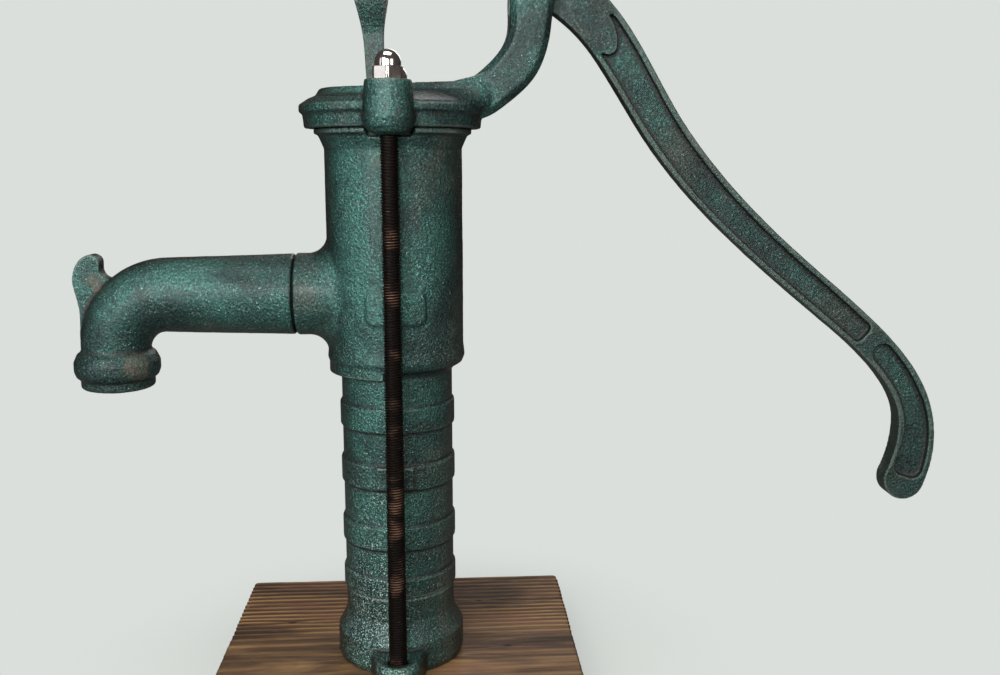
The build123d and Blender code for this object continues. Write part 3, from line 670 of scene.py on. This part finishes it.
def acorn_rings(flats, height):
    """Rings of an acorn nut from its seat to the top of its dome."""
    hex_height = height * HEX_SHARE
    dome_r = flats * DOME_SHARE
    seat = ((0, 0.8), (0.35 * MM, 0.35), (BEVEL, 0))
    shoulder = ((hex_height - BEVEL, 0), (hex_height - 0.3 * MM, 0.5))
    rings = [hexagon(flats, flats / 2 * CORNER - cut * BEVEL, z) for z, cut in seat + shoulder]
    rings.append(circle(flats / 2 * 0.985, hex_height))
    rings.append(circle(dome_r, hex_height + 0.25 * MM))
    for step in range(DOME_STEPS):
        lift = math.pi / 2 * step / (DOME_STEPS - 0.5)
        rings.append(circle(dome_r * math.cos(lift), height - dome_r + dome_r * math.sin(lift)))
    return rings


def acorn_nuts():
    flats = NUT_HIGH.x - NUT_LOW.x
    vertices, faces = [], []
    for y in (-TIE_Y, TIE_Y):
        rings = acorn_rings(flats, NUT_HIGH.z - NUT_LOW.z)
        new_vertices, new_faces = ring_stack(rings, (0, y, NUT_LOW.z))
        start = len(vertices)
        vertices += new_vertices
        faces += [tuple(start + i for i in face) for face in new_faces]
    mesh = bpy.data.meshes.new("acorn_nuts")
    mesh.from_pydata(vertices, [], faces)
    made = piece("acorn_nuts", mesh, "frame", "cap_nuts", CHROME)
    sharp = made.modifiers.new("edges", "EDGE_SPLIT")
    sharp.split_angle = math.radians(28)
    return made


# ---- Board --------------------------------------------------------------------------------------
RING_WIDTH = 12.5 * MM
PITH_Y = -85 * MM
PITH_DEPTH = 12 * MM
KNOTS = ((-98, 52), (67, 88), (88, -2), (-36, -62), (50, -104))  # places on the board in millimetres
RIDGE_HEIGHT = 1.1 * MM


def along_grain(points, stretch, size, seed):
    """Lumps drawn out along the board's grain, the more so the smaller the stretch."""
    return lumps(points * (stretch, 1, 1), size, seed)


def knots(x, y):
    """How near a knot each point is, from 0 to 1, and how far the knots push the rings aside."""
    near = np.zeros(len(x))
    pushed = np.zeros(len(x))
    for knot_x, knot_y in KNOTS:
        beyond = y - knot_y * MM
        away = np.hypot((x - knot_x * MM) * 0.5, beyond)
        near = np.maximum(near, np.exp(-((away / (2.4 * MM)) ** 2)))
        pushed += 3.5 * MM * np.exp(-((away / (9 * MM)) ** 2)) * np.sign(beyond + 0.001 * MM)
    return near, pushed


def ring_height(points):
    """How hard the wood is, from 0 in soft wood to 1 at a late ring, and how near a knot it is."""
    x, y, z = points.T
    knot, pushed = knots(x, y)
    wander = 2.2 * MM * along_grain(points, 0.22, 50 * MM, 11)
    wander += 0.8 * MM * along_grain(points, 0.5, 18 * MM, 12)
    from_pith = np.hypot(y - PITH_Y - 0.02 * x, z - DECK + PITH_DEPTH) + wander + pushed
    rear = y - 15 * MM
    fine = rise(rear, 50 * MM)
    phase = (from_pith + 0.55 * fine * rear) / RING_WIDTH % 1.0
    late = np.exp(-(((phase - 0.60) / 0.20) ** 2))
    late += 0.55 * np.exp(-(((phase - 0.12) / 0.10) ** 2)) * (1 - fine)
    plain = 0.55 + 0.30 * along_grain(points, 0.12, 16 * MM, 13)
    plain += 0.15 * along_grain(points, 0.3, 6 * MM, 14)
    striped = 0.30 + 0.70 * rise(y - 10 * MM, 45 * MM)
    return np.clip(late * striped + plain * (1 - striped), 0, 1), knot


def mounting_board():
    """The board, with its grain in relief except underneath and less of it under the foot."""
    mesh = remeshed("mounting_board", 1.3 * MM, 2)
    points = coords(mesh)
    x, y, z = points.T
    ridge, knot = ring_height(points)
    past_end = np.abs(x) - BOARD_HIGH.x
    clear_of_foot = np.maximum(rise(from_axis(points) - 48 * MM, 6 * MM), 0.35)
    rear = np.maximum(rise(y + 20 * MM, 60 * MM), 0.45)
    depth = RIDGE_HEIGHT * (1 - ridge) * clear_of_foot * rear * (1 + 0.6 * rise(past_end + 6 * MM, 5 * MM))
    depth += 0.10 * MM * (along_grain(points, 0.2, 1.6 * MM, 21) + 1)
    depth += 0.9 * MM * knot
    depth *= rise(z - BOARD_LOW.z - 2 * MM, 4 * MM)
    set_coords(mesh, points - normals(mesh) * depth[:, None])
    store(mesh, "ridge", ridge)
    store(mesh, "knot", knot)
    store(mesh, "end", 0.75 * rise(past_end + 2.2 * MM, 2 * MM))
    return piece("brushed_board", mesh, "frame", "mounting_board", WOOD)


# ---- CAD pieces that stay as they are, with a finish of their own -------------------------------
def finish_nodes():
    finishes = {
        "board_washers": ZINC,
        "board_nuts": ZINC,
        "fulcrum_pin": ZINC,
        "fulcrum_washer": ZINC,
        "fulcrum_cotter": ZINC,
        "rod_pin": ZINC,
        "rod_pin_washer": ZINC,
        "rod_pin_cotter": ZINC,
        "piston_casting": IRON,
        "foot_valve_weight": IRON,
        "cup_retaining_ring": BRASS,
        "piston_cross_pin": BRASS,
        "piston_valve": BRASS,
        "foot_valve_clamp_washer": BRASS,
        "foot_valve_screw": BRASS,
        "piston_cup": LEATHER,
        "foot_valve_gasket": LEATHER,
        "foot_valve_flap": LEATHER,
    }
    for node, material in finishes.items():
        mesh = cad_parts[node].data
        mesh.materials.clear()
        mesh.materials.append(material)


# ---- Stage, light and camera --------------------------------------------------------------------
PALE = rgb(0.7011, 0.7379, 0.7084)
FLOOR_REACH = 30.0


def diffuse(tree, colour):
    node = tree.nodes.new("ShaderNodeBsdfDiffuse")
    node.inputs["Color"].default_value = colour
    return node.outputs[0]


def shader_mix(tree, share, first, second):
    node = tree.nodes.new("ShaderNodeMixShader")
    tree.links.new(share, node.inputs["Fac"])
    tree.links.new(first, node.inputs[1])
    tree.links.new(second, node.inputs[2])
    return node.outputs[0]


def glow_share(tree):
    """A little over half near the board, up to 1 away from it."""
    place = tree.nodes.new("ShaderNodeTexCoord")
    distance = tree.nodes.new("ShaderNodeVectorMath")
    distance.operation = "LENGTH"
    fade = tree.nodes.new("ShaderNodeMapRange")
    fade.interpolation_type = "SMOOTHSTEP"
    for name, value in (("From Min", 0.15), ("From Max", 0.34), ("To Min", 0.55), ("To Max", 1.0)):
        fade.inputs[name].default_value = value
    tree.links.new(place.outputs["Object"], distance.inputs[0])
    tree.links.new(distance.outputs["Value"], fade.inputs["Value"])
    return fade.outputs["Result"]


def stage_material():
    """Pale to the eye and dim to the object, shaded only near the board so that no seam shows."""
    material = bpy.data.materials.new("pale_stage")
    material.use_nodes = True
    tree = material.node_tree
    tree.nodes.clear()
    glow = tree.nodes.new("ShaderNodeEmission")
    glow.inputs["Color"].default_value = PALE
    shaded = diffuse(tree, rgb(0.62, 0.65, 0.62))
    to_eye = shader_mix(tree, glow_share(tree), shaded, glow.outputs[0])
    seen = tree.nodes.new("ShaderNodeLightPath").outputs["Is Camera Ray"]
    to_object = diffuse(tree, rgb(0.16, 0.165, 0.16))
    out = tree.nodes.new("ShaderNodeOutputMaterial")
    tree.links.new(shader_mix(tree, seen, to_object, to_eye), out.inputs["Surface"])
    return material


def floor():
    mesh = bpy.data.meshes.new("floor")
    height = BOARD_LOW.z - 0.2 * MM
    corners = ((-1, -1), (1, -1), (1, 1), (-1, 1))
    vertices = [(x * FLOOR_REACH, y * FLOOR_REACH, height) for x, y in corners]
    mesh.from_pydata(vertices, [], [(0, 1, 2, 3)])
    mesh.materials.append(stage_material())
    made = bpy.data.objects.new("floor", mesh)
    bpy.context.scene.collection.objects.link(made)


def soft_box(name, place, target, size, power, colour=(1, 1, 1)):
    light = bpy.data.lights.new(name, "AREA")
    light.shape = "RECTANGLE"
    light.size, light.size_y = size
    light.energy = power
    light.color = colour
    made = bpy.data.objects.new(name, light)
    bpy.context.scene.collection.objects.link(made)
    made.location = place
    made.rotation_euler = (Vector(target) - Vector(place)).to_track_quat("-Z", "Y").to_euler()


def world_light():
    world = bpy.data.worlds.new("studio")
    world.use_nodes = True
    bpy.context.scene.world = world
    tree = world.node_tree
    back = tree.nodes["Background"]
    seen = tree.nodes.new("ShaderNodeLightPath")
    mix = tree.nodes.new("ShaderNodeMix")
    mix.data_type = "RGBA"
    mix.inputs["A"].default_value = rgb(0.085, 0.070, 0.062)
    mix.inputs["B"].default_value = PALE
    tree.links.new(seen.outputs["Is Camera Ray"], mix.inputs["Factor"])
    tree.links.new(mix.outputs["Result"], back.inputs["Color"])


def lights():
    middle = (0.05, 0, 0.36)
    soft_box("key", (-0.85, -1.40, 0.80), middle, (0.5, 1.3), 27)
    soft_box("front", (-0.15, -1.9, 0.90), middle, (0.6, 0.5), 25)
    soft_box("fill", (1.1, -1.5, 0.75), middle, (0.5, 1.0), 8, (1.0, 0.96, 0.92))
    soft_box("side", (-1.20, -0.68, 0.75), middle, (0.32, 0.9), 1.4)
    soft_box("top", (0.0, -0.3, 2.0), middle, (1.3, 0.9), 18)
    soft_box("back", (0.5, 1.9, 1.3), middle, (1.2, 1.0), 9)


def camera():
    """Stands in front of the pump at about the cap's height, looking slightly down."""
    across, away, height = 36.5 * MM, -815 * MM, DECK + 400 * MM
    turn, dip = math.radians(-3.2), math.radians(9.72)
    data = bpy.data.cameras.new("camera")
    data.sensor_width = 36.0
    data.lens = 37.44
    made = bpy.data.objects.new("camera", data)
    bpy.context.scene.collection.objects.link(made)
    made.location = (across, away, height)
    made.rotation_euler = (math.pi / 2 - dip, 0, turn)
    bpy.context.scene.camera = made


# ---- Build --------------------------------------------------------------------------------------
casting("pump_body", "frame", GREEN, 0.95 * MM)
casting("base_casting", "frame", GREEN, 1.0 * MM, rounds=3)
casting("spout", "frame", GREEN, 1.0 * MM, rounds=3)
casting("cap_bracket", "frame", GREEN, 1.0 * MM, rounds=3)
casting("lever", "lever", DARK_GREEN, 0.9 * MM, relief=0.7)
casting("piston_rod", "piston_rod", DARK_GREEN, 1.0 * MM, relief=0.7)
tie_rods()
acorn_nuts()
mounting_board()
finish_nodes()
floor()
world_light()
lights()
camera()
bpy.context.scene.view_settings.view_transform = "Standard"
